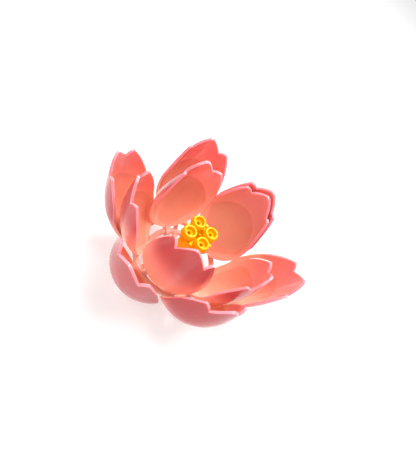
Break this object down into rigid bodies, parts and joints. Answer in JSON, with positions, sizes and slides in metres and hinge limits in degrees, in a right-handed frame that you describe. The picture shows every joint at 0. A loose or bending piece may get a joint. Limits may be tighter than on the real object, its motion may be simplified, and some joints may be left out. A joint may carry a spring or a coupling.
{
  "type": "toy lotus flower",
  "caption": "Toy lotus flower head: spoon-shaped petals with three-lobed tips clipped to ring carriers round a yellow centre of open cups.",
  "frame": {"origin": "centre of the hub's flat underside, on the flower's axis", "axes": "+Z along the flower's axis, up out of the flower; +X and +Y along the sides of the square of the four cups"},
  "size_m": [0.1021, 0.0846, 0.0614],
  "materials": {
    "petal_plastic": "glossy coral-pink moulded plastic",
    "structure_plastic": "glossy coral-pink moulded plastic",
    "centre_plastic": "glossy yellow moulded plastic"
  },
  "bodies": {
    "root": {"outer_petal_1": "petal_plastic", "outer_petal_2": "petal_plastic", "outer_petal_3": "petal_plastic", "outer_petal_4": "petal_plastic", "outer_petal_5": "petal_plastic", "outer_petal_6": "petal_plastic", "inner_petal_1": "petal_plastic", "inner_petal_2": "petal_plastic", "inner_petal_3": "petal_plastic", "inner_petal_4": "petal_plastic", "inner_petal_5": "petal_plastic", "inner_ring_carrier": "structure_plastic", "outer_ring_carrier": "structure_plastic", "hub_foot": "structure_plastic", "hub_spacer": "structure_plastic", "hub_column": "structure_plastic", "centre_pin": "structure_plastic", "stamen_base": "centre_plastic", "stamen_cup_1": "centre_plastic", "stamen_cup_2": "centre_plastic", "stamen_cup_3": "centre_plastic", "stamen_cup_4": "centre_plastic"}
  },
  "joints": []
}
